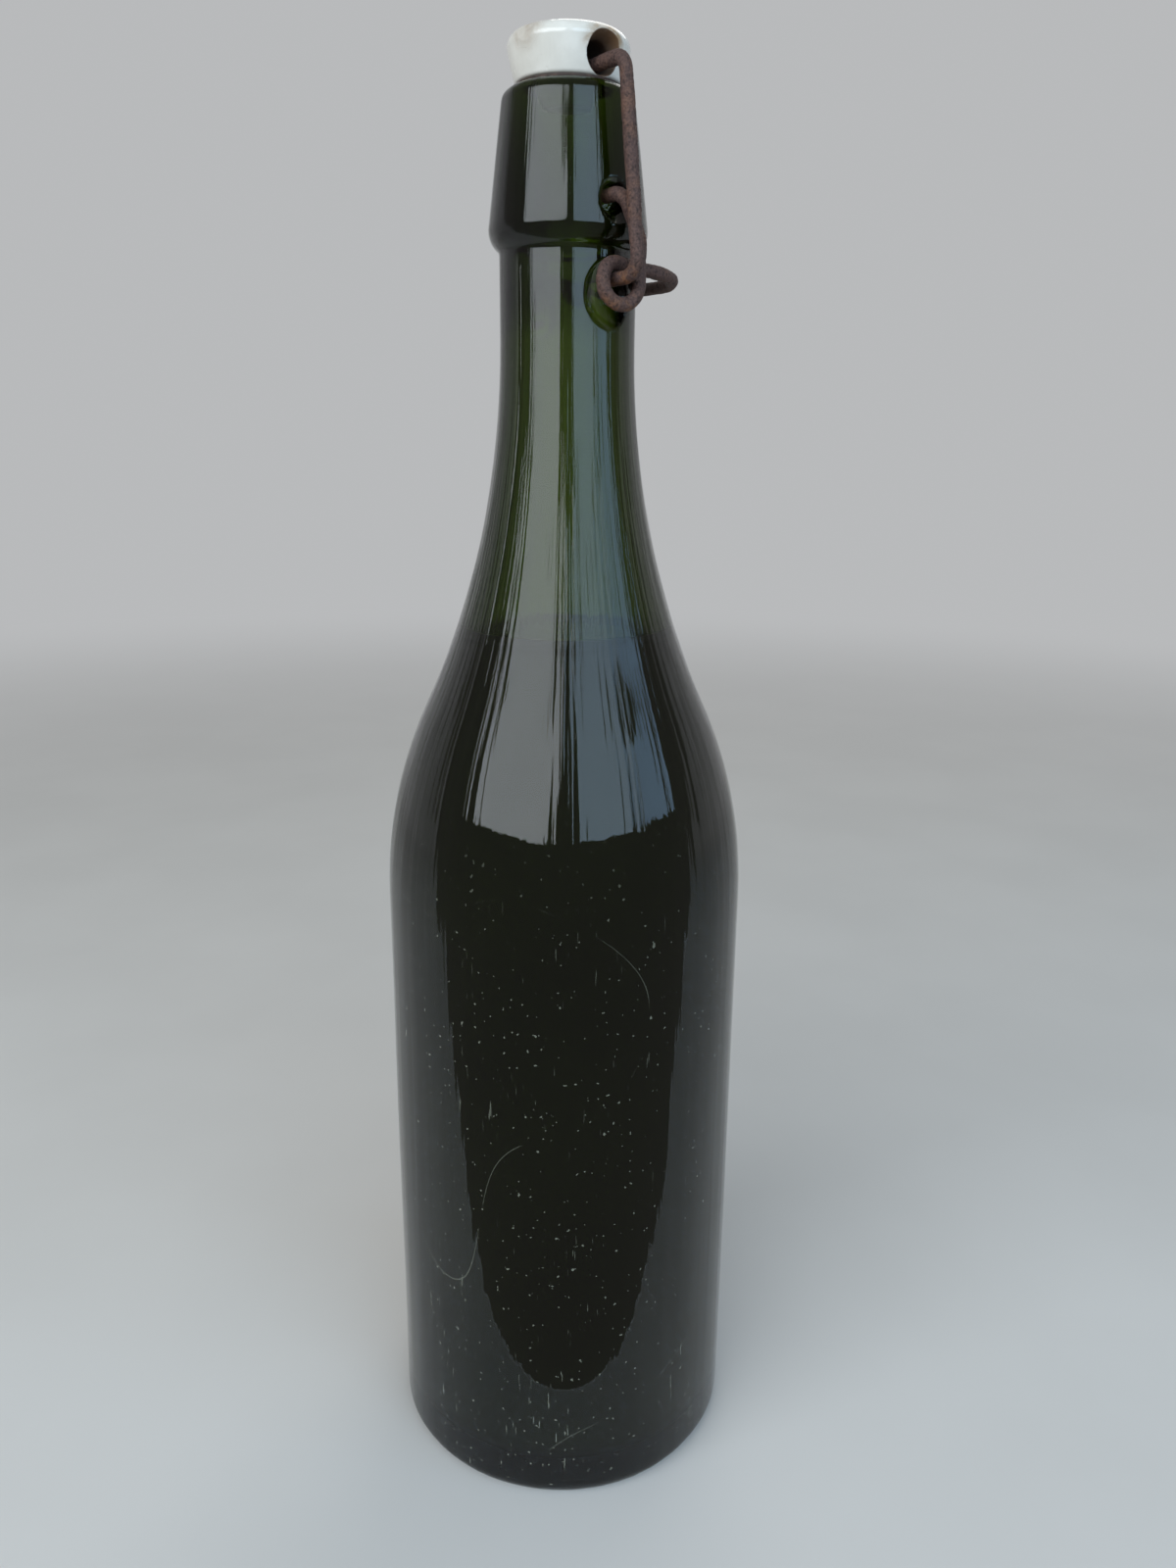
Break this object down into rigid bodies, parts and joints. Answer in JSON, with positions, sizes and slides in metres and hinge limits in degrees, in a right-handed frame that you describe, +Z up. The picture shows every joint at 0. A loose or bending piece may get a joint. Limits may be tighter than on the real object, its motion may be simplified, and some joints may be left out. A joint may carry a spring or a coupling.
{
  "type": "swing top bottle",
  "caption": "Tall dark green glass bottle with a narrow neck, closed by a porcelain stopper that a wire bail and lever clamp onto the rim.",
  "frame": {"origin": "centre of the base, on the surface the bottle stands on", "axes": "+Z up along the bottle's axis; the lever turns about Y and its handle lies towards +X"},
  "size_m": [0.08, 0.08, 0.3103],
  "materials": {
    "bottle_glass": "dark olive green, glossy, lightly scuffed on the body",
    "wire_steel": "bare steel wire, rusted brown",
    "stopper_porcelain": "white glaze, stained round the cross hole",
    "gasket_rubber": "dull, aged"
  },
  "bodies": {
    "bottle": {"bottle": "bottle_glass"},
    "lever": {"lever_wire": "wire_steel"},
    "bail": {"bail_wire": "wire_steel"},
    "stopper": {"stopper": "stopper_porcelain", "gasket": "gasket_rubber"}
  },
  "joints": [
    {"name": "lever_hinge", "type": "hinge", "parent": "bottle", "child": "lever", "pos_m": [0, 0, 0.28], "axis": [0, -1, 0], "range_deg": [0, 145]},
    {"name": "bail_hinge", "type": "hinge", "parent": "lever", "child": "bail", "pos_m": [0, 0, 0.265], "axis": [0, -1, 0], "range_deg": [-87, 0]},
    {"name": "stopper_swivel", "type": "hinge", "parent": "bail", "child": "stopper", "pos_m": [0, 0, 0.3028], "axis": [0, -1, 0], "range_deg": [-58, 0]}
  ],
  "couplings": [
    {"joint": "bail_hinge", "follows": "lever_hinge", "ratio": -0.6},
    {"joint": "stopper_swivel", "follows": "lever_hinge", "ratio": -0.4}
  ]
}
